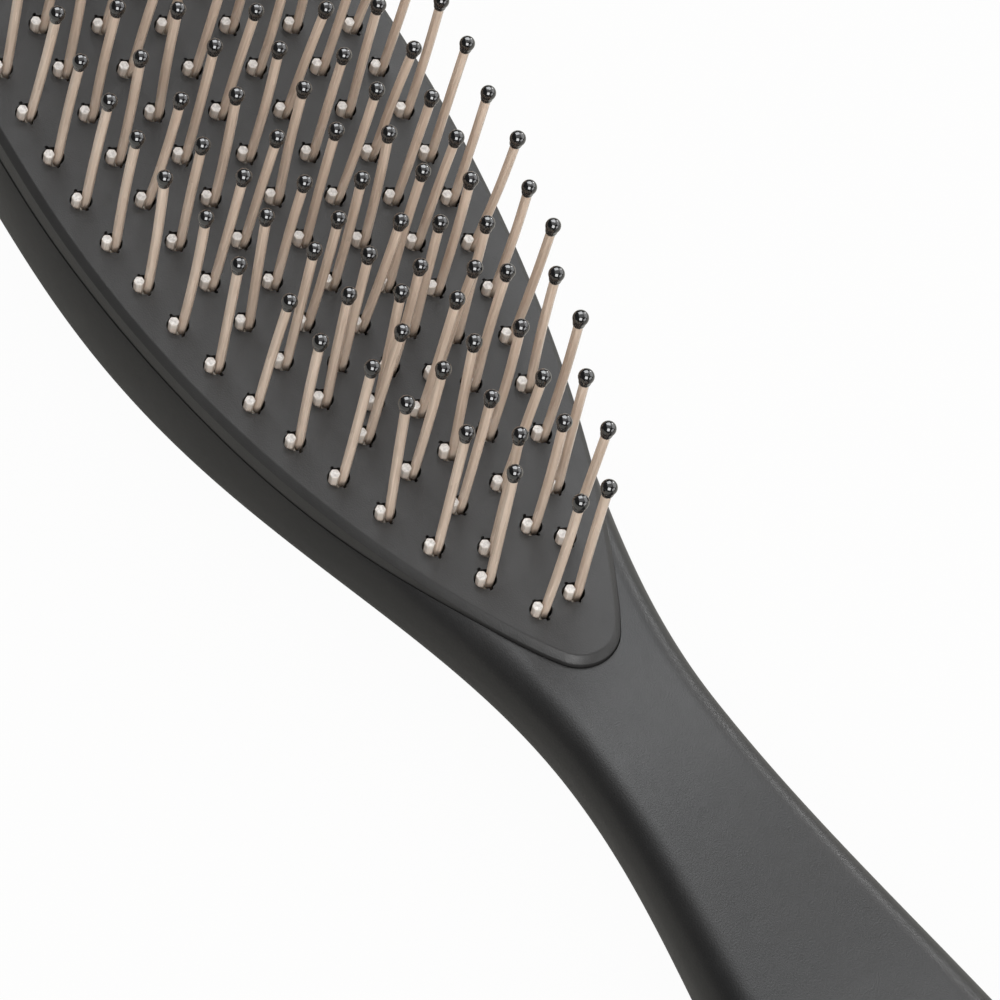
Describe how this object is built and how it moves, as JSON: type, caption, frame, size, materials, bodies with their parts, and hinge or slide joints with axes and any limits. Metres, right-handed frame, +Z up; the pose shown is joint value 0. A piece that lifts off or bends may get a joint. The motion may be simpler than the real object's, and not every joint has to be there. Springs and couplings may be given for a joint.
{
  "type": "detangling brush",
  "caption": "Detangling hair brush: bowed oval head with a raised pin plate, folded filament pins with ball tips beside cut stubs, and a slim waisted neck running into a rounded grip.",
  "frame": {"origin": "centre of the footprint, on the surface the brush's back rests on", "axes": "+X along the brush from the head to the grip, +Y across the brush, +Z up out of the pin side"},
  "size_m": [0.2414, 0.0574, 0.0538],
  "materials": {
    "shell": "satin",
    "plate": "fine matte",
    "filament": "satin, slightly translucent",
    "tip": "gloss",
    "wire": "drawn"
  },
  "bodies": {
    "root": {"front_shell": "shell", "back_shell": "shell", "pin_plate": "plate", "pins_line_1": "filament", "pins_line_2": "filament", "pins_line_3": "filament", "pins_line_4": "filament", "pins_line_5": "filament", "pins_line_6": "filament", "pins_line_7": "filament", "tips_line_1": "tip", "tips_line_2": "tip", "tips_line_3": "tip", "tips_line_4": "tip", "tips_line_5": "tip", "tips_line_6": "tip", "tips_line_7": "tip", "anchors_line_1": "wire", "anchors_line_2": "wire", "anchors_line_3": "wire", "anchors_line_4": "wire", "anchors_line_5": "wire", "anchors_line_6": "wire", "anchors_line_7": "wire"}
  },
  "joints": []
}
